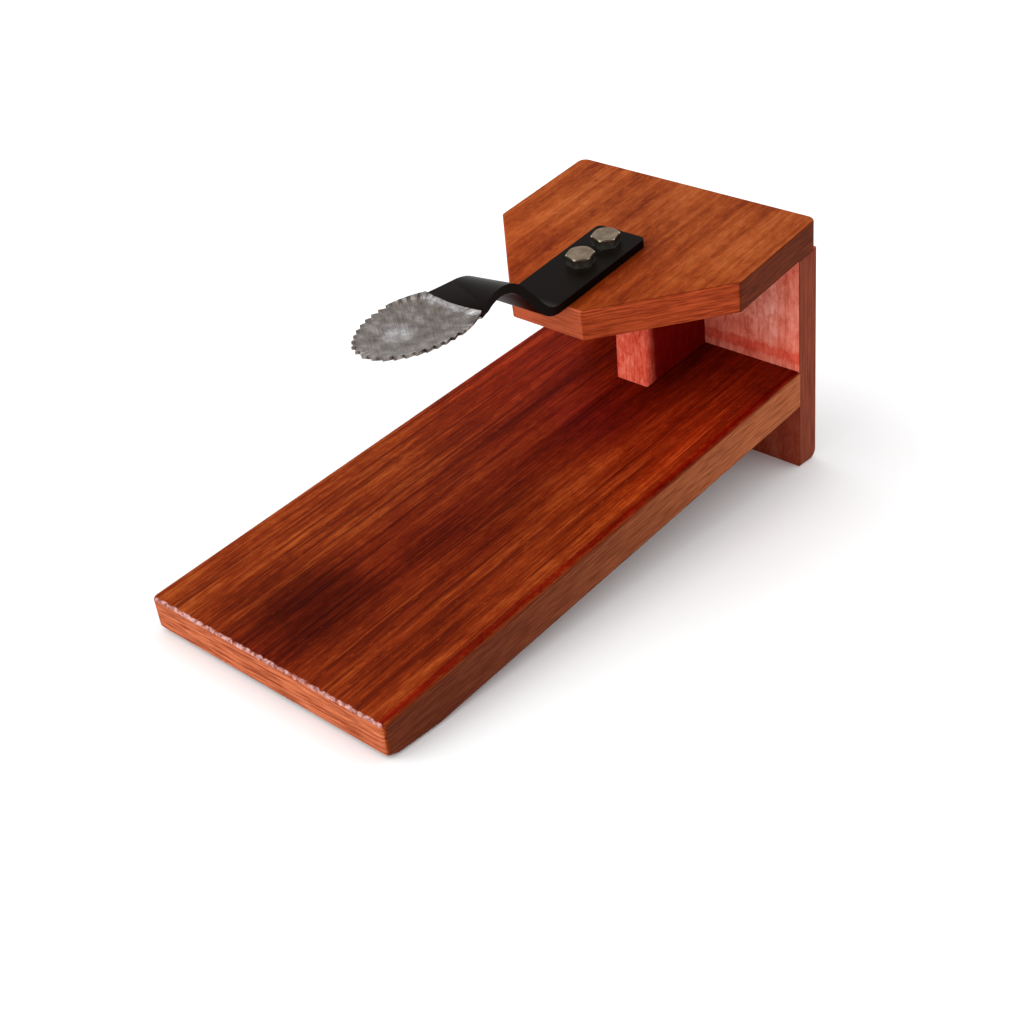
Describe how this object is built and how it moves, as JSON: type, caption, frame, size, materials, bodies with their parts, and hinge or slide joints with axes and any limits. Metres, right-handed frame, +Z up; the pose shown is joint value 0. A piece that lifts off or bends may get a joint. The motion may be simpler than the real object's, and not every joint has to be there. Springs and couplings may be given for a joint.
{
  "type": "bench coconut scraper",
  "caption": "Wooden bench coconut scraper: sloping base board, upright, brace and top plate that carries a bent steel bar ending in a dished leaf with a saw-toothed rim.",
  "frame": {"origin": "on the table plane, on the centre line, in the middle of the upright's foot", "axes": "+Z up, +Y towards the rear (from the board's front end to the upright), +X to the right seen from the front"},
  "size_m": [0.15, 0.3509, 0.1509],
  "materials": {
    "hardwood": "red-brown hardwood under a satin clear varnish",
    "blade_steel": "bare ground steel leaf, satin black paint on the bar",
    "zinc_steel": "dull zinc plated steel",
    "screw_steel": "yellowish zinc plated steel",
    "dowel_wood": "plain unfinished hardwood"
  },
  "bodies": {
    "root": {"base_board": "hardwood", "rear_upright": "hardwood", "top_plate": "hardwood", "centre_brace": "hardwood", "scraper_blade": "blade_steel", "rear_bolt": "zinc_steel", "front_bolt": "zinc_steel", "rear_washer": "zinc_steel", "front_washer": "zinc_steel", "rear_nut": "zinc_steel", "front_nut": "zinc_steel", "left_board_screw": "screw_steel", "centre_board_screw": "screw_steel", "right_board_screw": "screw_steel", "low_brace_screw": "screw_steel", "high_brace_screw": "screw_steel", "rear_under_screw": "screw_steel", "front_under_screw": "screw_steel", "outer_left_dowel": "dowel_wood", "inner_left_dowel": "dowel_wood", "inner_right_dowel": "dowel_wood", "outer_right_dowel": "dowel_wood", "brace_dowel": "dowel_wood"}
  },
  "joints": []
}
